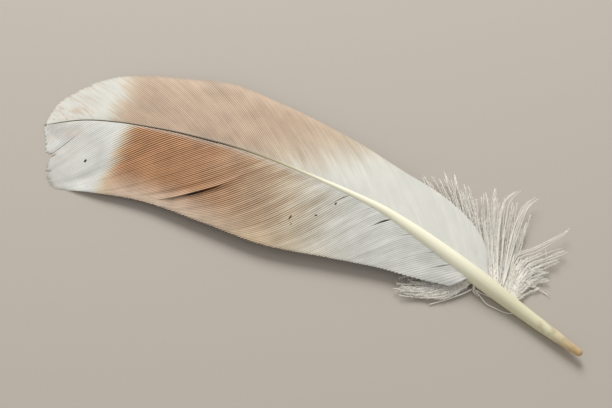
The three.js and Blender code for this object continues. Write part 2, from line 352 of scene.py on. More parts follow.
def add_piece(name, mesh, material, slot, *nodes):
    """Puts a finished mesh in the frame as a piece that rides on the feather's one body."""
    piece = bpy.data.objects.new(name, mesh)
    bpy.context.scene.collection.objects.link(piece)
    mesh.materials.clear()
    mesh.materials.append(material)
    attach(piece, "root")
    if nodes:
        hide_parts(*nodes)
    return piece


def mesh_from(bm, name, sharp_angle=50):
    """The bmesh as a smooth-shaded mesh, with a crease where faces meet at more than an angle."""
    for face in bm.faces:
        face.smooth = True
    for edge in bm.edges:
        edge.smooth = edge.calc_face_angle(0) < math.radians(sharp_angle)
    mesh = bpy.data.meshes.new(name)
    bm.to_mesh(mesh)
    bm.free()
    return mesh


# ---- Materials ----


def add_node(tree, kind, inputs=None, **settings):
    """Adds a node with its settings. Each input is a value, or a node or socket to link to it.

    Inputs go by number where names are long or repeat: Map Range has a value, the range that it
    comes from and the one that it goes to, and a Mix of colours has its share, and them at 6 and 7.
    """
    made = tree.nodes.new(kind)
    for name, value in settings.items():
        setattr(made, name, value)
    for key, value in (inputs or {}).items():
        socket = made.inputs[key]
        if isinstance(value, bpy.types.Node):
            value = next(output for output in value.outputs if output.enabled)
        if isinstance(value, bpy.types.NodeSocket):
            tree.links.new(value, socket)
        else:
            socket.default_value = (*value, 1) if socket.type == "RGBA" else value
    return made


def new_material(name):
    """A material and its empty node tree."""
    material = bpy.data.materials.new(name)
    material.use_nodes = True
    material.node_tree.nodes.clear()
    return material, material.node_tree


def vane_keratin(name, barbs, tone, colours, zones):
    """Barbs of a vane: feather keratin, grown as flat ribs whose barbules hook together.

    It gives fine parallel lines, partly from the ribs and partly painted: painted shade in the
    furrows, a painted highlight on the ribs, and painted satin light in streaks along them. The
    pigment lies in the middle of the feather only, and each barb ends it at a place of its own,
    which makes a streaky edge.
    """
    material, tree = new_material(name)
    barb_map = add_node(tree, "ShaderNodeUVMap", uv_map=BARB_MAP)
    place = add_node(tree, "ShaderNodeSeparateXYZ", {0: barb_map})
    solid_place = add_node(tree, "ShaderNodeTexCoord").outputs["Object"]
    barb_count = add_node(
        tree, "ShaderNodeMath", {0: place.outputs[0], 1: barbs}, operation="MULTIPLY"
    )
    across_barb = add_node(tree, "ShaderNodeMath", {0: barb_count}, operation="FRACT")
    # The rib is drawn nearer the barb's tip side, the side that the key light falls on in the inner
    # vane, so that the paler rib lies on the lit slope: painted light.
    lit_side_rib_centre = 0.5 * BARB_FACES / (BARB_FACES + 1) - 0.03
    from_rib = add_node(
        tree, "ShaderNodeMath", {0: across_barb, 1: lit_side_rib_centre}, operation="SUBTRACT"
    )
    from_rib = add_node(tree, "ShaderNodeMath", {0: from_rib}, operation="ABSOLUTE")
    rib = add_node(
        tree, "ShaderNodeMapRange",
        {0: from_rib, 1: 0.11, 2: 0.24, 3: 1.0, 4: 0.0}, interpolation_type="SMOOTHSTEP",
    )

    # Streaks: about one barb wide and a third of a barb long, and five barbs wide and longer.
    streaks = []
    for width, length, detail in ((1.2, 3.0, 1.0), (5.0, 1.6, 2.0)):
        stretched = add_node(
            tree, "ShaderNodeMapping", {0: barb_map, 3: (barbs / width, length, 1)}
        )
        streaks.append(
            add_node(tree, "ShaderNodeTexNoise", {"Vector": stretched, "Scale": 1.0, "Detail": detail})
        )
    along = add_node(tree, "ShaderNodeSeparateXYZ", {0: solid_place})
    fine, wide = (
        add_node(tree, "ShaderNodeMath", {0: streak, 1: 0.5}, operation="SUBTRACT")
        for streak in streaks
    )
    inwards = add_node(tree, "ShaderNodeMath", {0: 1.0, 1: place.outputs[1]}, operation="SUBTRACT")
    masks = []
    for zone in zones:
        shifted = along.outputs[0]
        for cause, amount in (
            (fine, zone["fine"]), (wide, zone["wide"]), (rib, zone["rib"]), (inwards, zone["inwards"]),
        ):
            shifted = add_node(
                tree, "ShaderNodeMath", {0: cause, 1: amount * MM, 2: shifted},
                operation="MULTIPLY_ADD",
            )
        white, tan = ((zone[end] - ORIGIN.x) * MM for end in ("white", "tan"))
        masks.append(
            add_node(
                tree, "ShaderNodeMapRange", {0: shifted, 1: white, 2: tan},
                interpolation_type="SMOOTHSTEP",
            )
        )
    pigment = add_node(tree, "ShaderNodeMath", {0: masks[0], 1: masks[1]}, operation="MULTIPLY")

    # The barbules between the ribs hold most of the pigment; their darker tone also carries painted
    # shade in the furrows. The rim is paler, by less pigment there and by a painted highlight.
    rim_tone_and_highlight = add_node(
        tree, "ShaderNodeMapRange",
        {0: place.outputs[1], 1: tone["rim_from"], 2: 1.0, 3: 0.0, 4: tone["rim_tone_and_highlight"]},
        interpolation_type="SMOOTHSTEP",
    )
    pigment_and_painted_light = colours["tan_dark"]
    for share, paler in ((rib, colours["tan"]), (rim_tone_and_highlight, colours["rim_tone_and_highlight"])):
        pigment_and_painted_light = add_node(
            tree, "ShaderNodeMix", {0: share, 6: pigment_and_painted_light, 7: paler}, data_type="RGBA"
        )
    # A few barbs have a little pigment again at the feather's very tip.
    flecks = add_node(
        tree, "ShaderNodeMapRange", {0: streaks[0], 1: 0.45, 2: 0.72, 4: tone["flecks"]}
    )
    flecked, clear = ((x - ORIGIN.x) * MM for x in (9.0, 17.0))
    at_tip = add_node(
        tree, "ShaderNodeMapRange",
        {0: along.outputs[0], 1: flecked, 2: clear, 3: 1.0, 4: 0.0},
        interpolation_type="SMOOTHSTEP",
    )
    flecks = add_node(tree, "ShaderNodeMath", {0: flecks, 1: at_tip}, operation="MULTIPLY")
    # Thin pigment is yellower than the full tan: most where half of it is left.
    without = add_node(tree, "ShaderNodeMath", {0: 1.0, 1: pigment}, operation="SUBTRACT")
    partly = add_node(tree, "ShaderNodeMath", {0: pigment, 1: without}, operation="MULTIPLY")
    thin = add_node(tree, "ShaderNodeMath", {0: partly, 1: 2.0}, operation="MULTIPLY")
    # The barbs are paler where they leave the shaft.
    roots = add_node(
        tree, "ShaderNodeMapRange",
        {0: place.outputs[1], 1: 0.0, 2: 0.12, 3: tone["roots"], 4: 0.0},
        interpolation_type="SMOOTHSTEP",
    )

    # Painted shade and highlight: the barbules between two ribs are darkened as if in their own
    # shade, and the ribs lightened.
    light = add_node(
        tree, "ShaderNodeMapRange", {0: rib, 3: 1.0 - tone["furrow_shade"], 4: 1.0 + tone["rib"]}
    )
    # More painted light and shade: streaks along the barbs, and patches about 6 mm across, lighter
    # or darker as if the barbs lay a little flatter or steeper.
    painted_tilt_patches = add_node(
        tree, "ShaderNodeTexNoise", {"Vector": solid_place, "Scale": 160.0, "Detail": 3.0}
    )
    for pattern, amount in (
        (streaks[0], tone["streak"]), (streaks[1], 0.5 * tone["streak"]), (painted_tilt_patches, tone["painted_tilt_patches"]),
    ):
        varied = add_node(
            tree, "ShaderNodeMapRange",
            {0: pattern, 1: 0.3, 2: 0.7, 3: 1.0 - amount, 4: 1.0 + amount},
        )
        light = add_node(tree, "ShaderNodeMath", {0: light, 1: varied}, operation="MULTIPLY")
    painted_light_colour = add_node(tree, "ShaderNodeCombineColor", {0: light, 1: light, 2: light})
    # The white shows only part of this painted light and shade, as light passes through the white
    # barbs.
    painted_light_shown = add_node(tree, "ShaderNodeMapRange", {0: pigment, 3: tone["pale_contrast"]})
    # Layers of colour, from the shade tone up: the greyer streaks in the white are painted shade, and
    # the last layer multiplies in the painted light and shade.
    colour = colours["shade"]
    for share, layer, blend in (
        (streaks[1], colours["white"], "MIX"),
        (flecks, colours["tan"], "MIX"),
        (pigment, pigment_and_painted_light, "MIX"),
        (thin, colours["thin"], "MULTIPLY"),
        (roots, colours["shade"], "MIX"),
        (painted_light_shown, painted_light_colour, "MULTIPLY"),
    ):
        colour = add_node(
            tree, "ShaderNodeMix", {0: share, 6: colour, 7: layer},
            data_type="RGBA", blend_type=blend,
        )

    # Barbules: rows 0.03 mm apart on the real barb, drawn 0.3 to 0.5 mm apart so that they show.
    barbule_map = add_node(tree, "ShaderNodeMapping", {0: barb_map, 3: (barbs * 2, 90, 1)})
    barbules = add_node(tree, "ShaderNodeTexNoise", {"Vector": barbule_map, "Scale": 1.0})
    bump = add_node(
        tree, "ShaderNodeBump", {"Strength": 0.25, "Distance": 0.05 * MM, "Height": barbules}
    )
    shader = add_node(
        tree, "ShaderNodeBsdfPrincipled",
        {
            "Base Color": colour, "Normal": bump, "Roughness": tone["roughness"], "IOR": 1.55,
            "Specular IOR Level": 0.2, "Sheen Weight": 0.05,
        },
    )
    add_node(tree, "ShaderNodeOutputMaterial", {"Surface": shader})
    return material


def shaft_keratin(name, colours):
    """The shaft: solid keratin, as smooth as horn.

    It gives a soft wax-like gloss. Pigment makes it dark brown near the tip, and the end of the
    quill, which sat in the skin, is brownish and smudged.
    """
    material, tree = new_material(name)
    shaft_map = add_node(tree, "ShaderNodeUVMap", uv_map=BARB_MAP)
    place = add_node(tree, "ShaderNodeTexCoord").outputs["Object"]
    along = add_node(
        tree, "ShaderNodeMapRange",
        {
            0: add_node(tree, "ShaderNodeSeparateXYZ", {0: place}),
            1: -ORIGIN.x * MM,
            2: (LENGTH - ORIGIN.x) * MM,
        },
    )
    tones = add_node(tree, "ShaderNodeValToRGB", {0: along})
    stops = [
        (0.0, colours["dark"]), (50.0, colours["dark"]), (66.0, colours["grey"]),
        (82.0, colours["cream"]), (125.0, colours["cream"]), (146.0, colours["horn"]),
        (158.0, colours["horn"]), (LENGTH, colours["end"]),
    ]
    ramp = tones.color_ramp.elements
    while len(ramp) < len(stops):
        ramp.new(0.5)
    for element, (x, colour) in zip(ramp, stops):
        element.position = x / LENGTH
        element.color = (*colour, 1)
    # Long fine streaks of the horn's fibres, about 10 mm long and up to 0.4 mm wide.
    fibre_map = add_node(tree, "ShaderNodeMapping", {0: shaft_map, 3: (18, 40, 1)})
    fibres = add_node(
        tree, "ShaderNodeTexNoise", {"Vector": fibre_map, "Scale": 1.0, "Detail": 2.0}
    )
    fibrous = add_node(tree, "ShaderNodeMapRange", {0: fibres, 1: 0.35, 2: 0.75, 4: 0.25})
    # Smudges, about 3 mm long, on the stretch that sat in the skin.
    blotches = add_node(
        tree, "ShaderNodeTexNoise", {"Vector": place, "Scale": 330.0, "Detail": 3.0}
    )
    smudged = add_node(
        tree, "ShaderNodeMapRange",
        {0: along, 1: 148 / LENGTH, 2: 160 / LENGTH, 4: 0.5},
        interpolation_type="SMOOTHSTEP",
    )
    patch = add_node(
        tree, "ShaderNodeMapRange", {0: blotches, 1: 0.48, 2: 0.68},
        interpolation_type="SMOOTHSTEP",
    )
    smudge = add_node(tree, "ShaderNodeMath", {0: smudged, 1: patch}, operation="MULTIPLY")
    colour = tones
    for share, layer, blend in (
        (fibrous, colours["fibre"], "MULTIPLY"), (smudge, colours["smudge"], "MIX")
    ):
        colour = add_node(
            tree, "ShaderNodeMix", {0: share, 6: colour, 7: layer},
            data_type="RGBA", blend_type=blend,
        )
    bump = add_node(
        tree, "ShaderNodeBump", {"Strength": 0.2, "Distance": 0.05 * MM, "Height": fibres}
    )
    shader = add_node(
        tree, "ShaderNodeBsdfPrincipled",
        {
            "Base Color": colour, "Normal": bump, "Roughness": 0.38, "IOR": 1.55,
            "Specular IOR Level": 0.3,
        },
    )
    add_node(tree, "ShaderNodeOutputMaterial", {"Surface": shader})
    return material


def down_keratin(name, white, shade):
    """Down: keratin threads with loose barbules, grown without hooks.

    It gives a soft mat white with painted shade: greyer patches about 3 mm across, from lock to lock.
    """
    material, tree = new_material(name)
    place = add_node(tree, "ShaderNodeTexCoord").outputs["Object"]
    # Painted shade: the tone greys from lock to lock, over about 3 mm.
    tone = add_node(
        tree, "ShaderNodeTexNoise", {"Vector": place, "Scale": 330.0, "Detail": 2.0}
    )
    shaded = add_node(tree, "ShaderNodeMapRange", {0: tone, 1: 0.35, 2: 0.65})
    colour = add_node(
        tree, "ShaderNodeMix", {0: shaded, 6: white, 7: shade}, data_type="RGBA"
    )
    shader = add_node(
        tree, "ShaderNodeBsdfPrincipled",
        {"Base Color": colour, "Roughness": 0.75, "IOR": 1.55, "Sheen Weight": 0.3},
    )
    add_node(tree, "ShaderNodeOutputMaterial", {"Surface": shader})
    return material


def speck_dirt(name, colour):
    """Dried dirt: crumbs of earth and bark, rough and dull, dark against the vane."""
    material, tree = new_material(name)
    place = add_node(tree, "ShaderNodeTexCoord").outputs["Object"]
    # Grit of a quarter of a millimetre.
    grit = add_node(tree, "ShaderNodeTexNoise", {"Vector": place, "Scale": 4000.0})
    darker = tuple(0.4 * c for c in colour)
    gritty = add_node(tree, "ShaderNodeMix", {0: grit, 6: colour, 7: darker}, data_type="RGBA")
    shader = add_node(tree, "ShaderNodeBsdfPrincipled", {"Base Color": gritty, "Roughness": 0.9})
    add_node(tree, "ShaderNodeOutputMaterial", {"Surface": shader})
    return material


def studio_paper(name, colour):
    """Studio paper: uncoated card, mat and even, with a faint tooth."""
    material, tree = new_material(name)
    place = add_node(tree, "ShaderNodeTexCoord").outputs["Object"]
    # Tooth of about a millimetre.
    tooth = add_node(tree, "ShaderNodeTexNoise", {"Vector": place, "Scale": 900.0})
    darker = tuple(0.97 * c for c in colour)
    toothed = add_node(tree, "ShaderNodeMix", {0: tooth, 6: colour, 7: darker}, data_type="RGBA")
    shader = add_node(tree, "ShaderNodeBsdfPrincipled", {"Base Color": toothed, "Roughness": 0.95})
    add_node(tree, "ShaderNodeOutputMaterial", {"Surface": shader})
    return material


# ---- The shaft ----


def shaft_radius(x):
    """Half the shaft's diameter, which closes in a round end."""
    into_rounding = max(0.0, x - LENGTH + SHAFT_END_ROUNDING) / SHAFT_END_ROUNDING
    return shaft_row(x)[2] / 2 * math.sqrt(max(0.0, 1 - into_rounding**2))


def build_shaft(sides, steps):
    """A tube along the shaft: round in the quill, and grooved below where it carries vanes."""
    bm = bmesh.new()
    bm.loops.layers.uv.new(BARB_MAP)
    bmesh.ops.create_grid(bm, x_segments=steps, y_segments=sides, size=0.5, calc_uvs=True)
    for vertex in bm.verts:
        t = vertex.co.x + 0.5
        angle = 2 * math.pi * (vertex.co.y + 0.5)  # from the bottom of the tube
        x = LENGTH * math.sin(t * math.pi / 2)
        y, z, _ = shaft_row(x)
        slope = shaft_row(x + 0.5)[0] - shaft_row(x - 0.5)[0]
        aside = Vector((-slope, 1, 0)).normalized()
        groove = GROOVE["depth"] * ease(-x, -GROOVE["ends"], -GROOVE["full"])
        radius = shaft_radius(x) * (1 - groove * max(0.0, math.cos(angle)) ** 6)
        point = Vector((x, y, z)) + aside * radius * math.sin(angle)
        point.z = max(0.0, point.z - radius * math.cos(angle))
        vertex.co = in_frame(point)
    bmesh.ops.remove_doubles(bm, verts=bm.verts, dist=0.001 * MM)
    bmesh.ops.holes_fill(bm, edges=bm.edges, sides=0)
    bmesh.ops.recalc_face_normals(bm, faces=bm.faces)
    return mesh_from(bm, "quill_shaft_horn")


# ---- The vanes ----


def flat_direction(degrees, side):
    """A direction on the flat, in degrees from the feather's tip outwards."""
    return Vector((-math.cos(math.radians(degrees)), side * math.sin(math.radians(degrees)), 0))


def barb_point(row, x, side, v):
    """The point at v, from 0 at its root in the shaft's skin to 1 at its end, on the barb at x."""
    end_x, end_y, end_z, leaving_angle, ending_angle = row(x)
    root = beside_shaft(x, side, VANE_ATTACHMENT, -BARB_ROOT * shaft_row(x)[2])
    end = Vector((end_x, end_y, end_z))
    length = (end - root).length
    leaving = root + flat_direction(leaving_angle, side) * length * BARB_REACH["leaving"]
    ending = end - flat_direction(ending_angle, side) * length * BARB_REACH["ending"]
    ending.z = (root.z + end.z) / 2
    return (
        root * (1 - v) ** 3
        + leaving * (3 * v * (1 - v) ** 2)
        + ending * (3 * v * v * (1 - v))
        + end * v**3
    )


def gap_shift(gaps, middle, x, v):
    """How far a barb has moved along the shaft at v, out of the gaps between unhooked barbs."""
    shift = 0.0
    for gap in gaps:
        beside = abs(x - gap["x"])
        if beside > 4 * gap["reach"]:
            continue
        opening = ease(v, gap["opens"], gap["widest"]) * (1 - ease(v, gap["widest"], gap["closes"]))
        away = 1 if middle > gap["x"] else -1
        shift += away * 0.5 * gap["width"] * opening * math.exp(-beside / gap["reach"])
    return shift


def split_lift(split, x, v):
    """How far a split lifts the vane: a low crest near the shaft, then a raised lip."""
    if not split:
        return 0.0
    along = ease(v, *split["grows"]) * (1 - ease(v, *split["sinks"]))
    top = split["x"] - split["crosses"] * (1 - ease(v, *split["crossed"]))
    beyond = (top - x) / split["width"]  # from the lip's edge towards the feather's tip
    if beyond >= 0:
        crease = split["crease"] * math.exp(-(((beyond - 1.1) / 0.4) ** 2))
        return along * (split["rise"] * max(0.0, 1 - beyond) ** 1.3 - crease)
    torn = ease(v, *split["tears"])
    edge = split["rise"] * (1 - torn) - split["dip"] * torn
    return edge * along * math.exp(1.2 * beyond)


def length_left(vane, x, point_at, chance):
    """How much of its length a worn barb has left. It ends where it would enter the notch."""
    wear = vane["wear"]
    lost = wear["anywhere"] + wear["tip"] * ease(-x, -wear["nothing"], -wear["all"])
    left = 1 - lost * chance.random() ** 3
    if vane["notch"] and x < NOTCH_BARBS:
        tried = (step / NOTCH_STEPS for step in range(NOTCH_STEPS))
        inside = (v for v in tried if intersect_point_tri_2d(point_at(v).to_2d(), *vane["notch"]))
        left = min(left, next(inside, 1.0) + chance.uniform(-0.02, 0.02))
    return left


def build_vane(name, vane, barbs, thickness, ridge):
    """A sheet of single barbs: a grid cut into strips, each laid along the barb that it is."""
    side = vane["side"]
    row = smooth(vane["rows"])
    first, last = vane["rows"][0][0], vane["rows"][-1][0]
    place = smooth(vane["spread"])
    chance = random.Random(name)
    columns = barbs * (BARB_FACES + 1)
    bm = bmesh.new()
    bm.loops.layers.uv.new(BARB_MAP)
    bmesh.ops.create_grid(bm, x_segments=columns, y_segments=BARB_STEPS, size=0.5, calc_uvs=True)
    between = [
        face
        for face in bm.faces
        if int((face.calc_center_median().x + 0.5) * columns) % (BARB_FACES + 1) == BARB_FACES
    ]
    bmesh.ops.delete(bm, geom=between, context="FACES")

    strips = {}
    for vertex in bm.verts:
        barb, column = divmod(round((vertex.co.x + 0.5) * columns), BARB_FACES + 1)
        strips.setdefault(barb, []).append((column, vertex))
    for barb, strip in sorted(strips.items()):
        start, stop = (place(edge / barbs) for edge in (barb, barb + 1))
        middle = (start + stop) / 2
        spacing = stop - start
        length = length_left(vane, middle, partial(barb_point, row, middle, side), chance)
        raised = chance.uniform(0.85, 1.15)
        sway = chance.uniform(-0.05, 0.05) * spacing
        for column, vertex in strip:
            c = column / BARB_FACES - 0.5
            v = (vertex.co.y + 0.5) * length
            narrow = 1 - 0.7 * ease(vertex.co.y + 0.5, 0.96, 1.0)  # at the barb's very end
            x = middle + c * spacing * BARB_OVERLAP * narrow
            x += sway * math.sin(3 * v) + gap_shift(vane["gaps"], middle, x, v)
            point = barb_point(row, clamp(x, first, last), side, v)
            point.z = max(VANE_LOWEST, point.z) + split_lift(vane["split"], x, v)
            rib = 0.5 + 0.5 * math.cos(2 * math.pi * c)
            standing = ease(v, 0, 0.05)  # the barbs grow out of the shaft's side flat
            point.z += (ridge * raised * rib * narrow + vane["tilt"] * c * side) * standing
            vertex.co = in_frame(point)
    bmesh.ops.recalc_face_normals(bm, faces=bm.faces)
    bmesh.ops.solidify(bm, geom=bm.faces[:], thickness=thickness * MM)
    bmesh.ops.recalc_face_normals(bm, faces=bm.faces)
    return mesh_from(bm, name)


# ---- Threads of down ----


class Threads:
    """Fine tapering threads, gathered in one curve and then turned into one mesh."""

    def __init__(self, name):
        self.name = name
        self.curve = bpy.data.curves.new(name, "CURVE")
        self.curve.dimensions = "3D"
        self.curve.bevel_depth = MM
        self.curve.bevel_resolution = 0
        self.curve.use_fill_caps = True

    def add(self, points, radii):
        spline = self.curve.splines.new("POLY")
        spline.points.add(len(points) - 1)
        for knot, point, radius in zip(spline.points, points, radii):
            resting = Vector((point.x, point.y, max(radius, point.z)))
            knot.co = (*in_frame(resting), 1)
            knot.radius = radius

    def to_mesh(self):
        drawn = bpy.data.objects.new(self.name, self.curve)
        bpy.context.scene.collection.objects.link(drawn)
        bpy.context.view_layer.update()
        drawn_now = drawn.evaluated_get(bpy.context.evaluated_depsgraph_get())
        mesh = bpy.data.meshes.new_from_object(drawn_now)
        bpy.data.objects.remove(drawn)
        bpy.data.curves.remove(self.curve)
        bm = bmesh.new()
        bm.from_mesh(mesh)
        bpy.data.meshes.remove(mesh)
        bmesh.ops.remove_doubles(bm, verts=bm.verts, dist=0.0005 * MM)
        bmesh.ops.recalc_face_normals(bm, faces=bm.faces)
        return mesh_from(bm, self.name, sharp_angle=120)


def line_through(points):
    """A smooth line through points, by the share of its length."""
    lengths = [0.0]
    for before, after in zip(points, points[1:]):
        lengths.append(lengths[-1] + (after - before).length)
    return smooth([(length / lengths[-1], *point) for length, point in zip(lengths, points)])


def down_barb(threads, chance, line, stop, beside, spread, barbules, barbule_length):
    """One barb of down: a wavy thread with a comb of finer barbules on both sides."""
    wave = [
        (chance.uniform(0, 6.3), chance.uniform(*DOWN_WAVE), chance.uniform(5, 12)) for _ in range(2)
    ]
    chord = line(1) - line(0)
    across = Vector((-chord.y, chord.x, 0)).normalized()
    points = []
    for i in range(DOWN_STEPS + 1):
        t = stop * i / DOWN_STEPS
        fan = DOWN_FAN * math.sin(math.pi * t) + spread * t
        swing, rise = (t * amount * math.sin(phase + rate * t) for phase, amount, rate in wave)
        point = line(t) + across * (beside * fan + swing)
        point.z += rise
        points.append(point)
    radii = [DOWN_RADIUS * (1 - DOWN_TAPER * i / DOWN_STEPS) for i in range(DOWN_STEPS + 1)]
    threads.add(points, radii)
    for k in range(barbules):
        t = 0.06 + 0.93 * (k + chance.random()) / barbules
        i = min(int(t * DOWN_STEPS), DOWN_STEPS - 1)
        start = points[i].lerp(points[i + 1], t * DOWN_STEPS - i)
        along = (points[i + 1] - points[i]).normalized()
        aside = Vector((-along.y, along.x, chance.gauss(0, 0.5))).normalized()
        aside *= 1 if k % 2 else -1
        length = barbule_length * chance.uniform(0.5, 1.1) * (1.2 - t) ** 0.4
        towards = along * chance.uniform(0.6, 1.0) + aside * chance.uniform(0.25, 0.85)
        ends = [start, start + towards * length]
        threads.add(ends, [share * DOWN_RADIUS for share in BARBULE_RADII])


def build_tuft(name, tuft, barbules, barbule_length):
    """Barbs of down gathered in locks that close towards their ends, and single strands."""
    threads = Threads(name)
    chance = random.Random(name)
    for share, barbs, spread, points in tuft["locks"]:
        sag = LOCK_SAG + chance.uniform(0, 0.9)
        tight = spread < 0.5
        for k in range(barbs):
            at = clamp(share + chance.gauss(0, 0.012))
            x = tuft["from"] + at * (tuft["to"] - tuft["from"])
            root = beside_shaft(x, tuft["side"], DOWN_ATTACHMENT, -DOWN_ROOT)
            passed = [Vector(point) for point in points]
            if len(passed) == 1:
                middle = root.lerp(passed[0], 0.5)
                middle.z = sag + chance.gauss(0, 0.15)
                passed.insert(0, middle)
            beside = clamp(2 * (k + chance.gauss(0.5, 0.8)) / barbs - 1, -1.15, 1.15)
            stop = 1 - (0.05 if tight else 0.32) * chance.random() ** 1.5 * (k > 0)
            length = barbule_length * (0.45 if tight else 1)
            line = line_through([root, *passed])
            down_barb(threads, chance, line, stop, beside, spread, barbules, length)
    for points, radius in tuft["strands"]:
        line = line_through([Vector(point) for point in points])
        steps = 5 * (len(points) - 1)
        shares = [i / steps for i in range(steps + 1)]
        threads.add([line(s) for s in shares], [radius * (1 - 0.4 * s) for s in shares])
    return threads.to_mesh()


# ---- Specks ----

# Crumbs of dirt on the inner vane: x and y, length, width and heading in degrees.
SPECKS = [
    (15.3, -13.8, 1.1, 0.6, 80),
    (76.7, -8.3, 1.9, 0.35, 75),
    (77.6, -10.2, 0.7, 0.25, 60),
    (83.4, -5.0, 0.9, 0.5, 20),
    (87.5, 0.6, 1.2, 0.45, 70),
]


def build_specks(name, vane):
    """Crumbs, each a small ball flattened and dented, laid on the vane below it."""
    chance = random.Random(name)
    bm = bmesh.new()
    for x, y, length, width, heading in SPECKS:
        above = in_frame(Vector((x, y, 30)))
        found, place, _, _ = vane.ray_cast(above, Vector((0, 0, -1)))
        if not found:
            raise RuntimeError(f"no barb lies under the speck at {x}, {y}")
        turn = Matrix.Rotation(math.radians(heading), 4, "Z")
        scale = Matrix.Diagonal((length * MM, width * MM, 0.5 * width * MM, 1))
        made = bmesh.ops.create_icosphere(
            bm, subdivisions=2, radius=0.5, matrix=Matrix.Translation(place) @ turn @ scale
        )
        for vertex in made["verts"]:
            vertex.co += (vertex.co - place) * chance.uniform(-0.25, 0.25)
    return mesh_from(bm, name)


# ---- What a user would change ----


class FeatherSizes(bpy.types.PropertyGroup):
    outer_barbs: IntProperty(
        name="Outer barbs", description="Barbs of the narrow outer vane", default=198, min=40
    )
    inner_barbs: IntProperty(
        name="Inner barbs", description="Barbs of the broad inner vane", default=162, min=40
    )
    barb_thickness: FloatProperty(
        name="Barb thickness", description="Thickness of a barb's web",
        default=0.06 * MM, unit="LENGTH", precision=5,
    )
    outer_ridge: FloatProperty(
        name="Outer ridge", description="Height of a barb's rib on the outer vane",
        default=0.04 * MM, unit="LENGTH", precision=5,
    )
    inner_ridge: FloatProperty(
        name="Inner ridge", description="Height of a barb's rib on the inner vane",
        default=0.085 * MM, unit="LENGTH", precision=5,
    )
    barbules: IntProperty(
        name="Barbules", description="Finest threads on one barb of down", default=78, min=1
    )
    barbule_length: FloatProperty(
        name="Barbule length", description="Length of the finest threads of the down",
        default=1.4 * MM, unit="LENGTH", precision=5,
    )


def colour_property(name, description, default):
    return FloatVectorProperty(
        name=name, description=description, default=linear(default), subtype="COLOR",
        min=0, max=1,
    )


class FeatherColours(bpy.types.PropertyGroup):
    # The shade tones are painted shade: greyer streaks in the white. The dark tans colour the furrows
    # with pigment and painted shade, and the rim is paler by its own tone and a painted highlight.
    inner_white: colour_property("Inner white", "Tip and base of the inner vane", "#ecebe4")
    inner_shade: colour_property("Inner white, shaded", "Greyer streaks in it", "#c4c5be")
    inner_tan: colour_property("Inner tan", "Ribs of the inner vane, where tan", "#c8966c")
    inner_tan_dark: colour_property("Inner tan, dark", "Furrows between them", "#6a4020")
    inner_thin: colour_property("Inner tan, thin", "Tint of what little is left", "#ffe4aa")
    outer_white: colour_property("Outer white", "Tip and base of the outer vane", "#e1dfd5")
    outer_shade: colour_property("Outer white, shaded", "Greyer streaks in it", "#cfcfc7")
    outer_tan: colour_property("Outer tan", "Ribs of the outer vane, where tan", "#c7b099")
    outer_tan_dark: colour_property("Outer tan, dark", "Furrows between them", "#a68b73")
    outer_thin: colour_property("Outer tan, thin", "Tint of what little is left", "#f2e0c4")
    rim_tone_and_highlight: colour_property("Rim", "The vanes' paler rims", "#e6d1bb")
    horn: colour_property("Horn", "The quill's hollow end", "#e7e2c2")
    cream: colour_property("Cream", "The shaft between the vanes", "#fdfae2")
    shaft_dark: colour_property("Dark shaft", "The shaft near the tip", "#4a3c22")
    down: colour_property("Down", "The tufts", "#fbf7ec")
    dirt: colour_property("Dirt", "The specks on the vane", "#3f352c")
    floor: colour_property("Floor", "The studio paper below", "#beb6ab")


class FeatherStage(bpy.types.PropertyGroup):
    elevation: FloatProperty(
        name="Elevation", description="How steeply the camera looks down",
        default=math.radians(65), subtype="ANGLE",
    )
    roll: FloatProperty(
        name="Roll", description="How far the camera is turned about its own axis",
        default=math.radians(21.8), subtype="ANGLE",
    )
    distance: FloatProperty(
        name="Distance", description="From the camera to the middle of its view",
        default=0.50088, unit="LENGTH",
    )
    lens: FloatProperty(
        name="Lens", description="Focal length", default=100, subtype="DISTANCE_CAMERA"
    )
    key_power: FloatProperty(
        name="Key light", description="Power of the large soft light", default=5.2, unit="POWER"
    )
    sky: FloatProperty(
        name="Sky", description="Strength of the even light from all around", default=0.52, min=0
    )


# ---- Operators, one for each piece or group of like pieces ----


class FEATHER_OT_shaft(bpy.types.Operator):
    """Builds the shaft, from the dark thin tip to the hollow quill"""

    bl_idname = "feather.shaft"
    bl_label = "Build shaft"

    def execute(self, context):
        colours = context.scene.feather_colours
        tones = {
            "dark": tuple(colours.shaft_dark),
            "grey": linear("#b9ae8c"),
            "cream": tuple(colours.cream),
            "horn": tuple(colours.horn),
            "end": linear("#cfaa75"),
            "fibre": linear("#e2d8b8"),
            "smudge": linear("#b09a78"),
        }
        material = shaft_keratin("horn_keratin", tones)
        mesh = build_shaft(sides=24, steps=170)
        add_piece("quill_shaft_horn", mesh, material, "quill", "quill_shaft")
        return {"FINISHED"}


class FEATHER_OT_vanes(bpy.types.Operator):
    """Builds the two vanes, each from single barbs"""

    bl_idname = "feather.vanes"
    bl_label = "Build vanes"

    def execute(self, context):
        sizes = context.scene.feather_sizes
        colours = context.scene.feather_colours
        thickness = sizes.barb_thickness / MM
        for which, vane in VANES.items():
            node = f"{which}_vane"  # the solid that the barbs stand for
            piece = f"{node}_barbs"
            barbs = getattr(sizes, f"{which}_barbs")
            ridge = getattr(sizes, f"{which}_ridge") / MM
            tones = {
                tone: tuple(getattr(colours, f"{which}_{tone}"))
                for tone in ("white", "shade", "tan", "tan_dark", "thin")
            }
            tones["rim_tone_and_highlight"] = tuple(colours.rim_tone_and_highlight)
            material = vane_keratin(f"{node}_keratin", barbs, vane["looks"], tones, vane["zones"])
            mesh = build_vane(piece, vane, barbs, thickness, ridge)
            add_piece(piece, mesh, material, node, node)
        return {"FINISHED"}


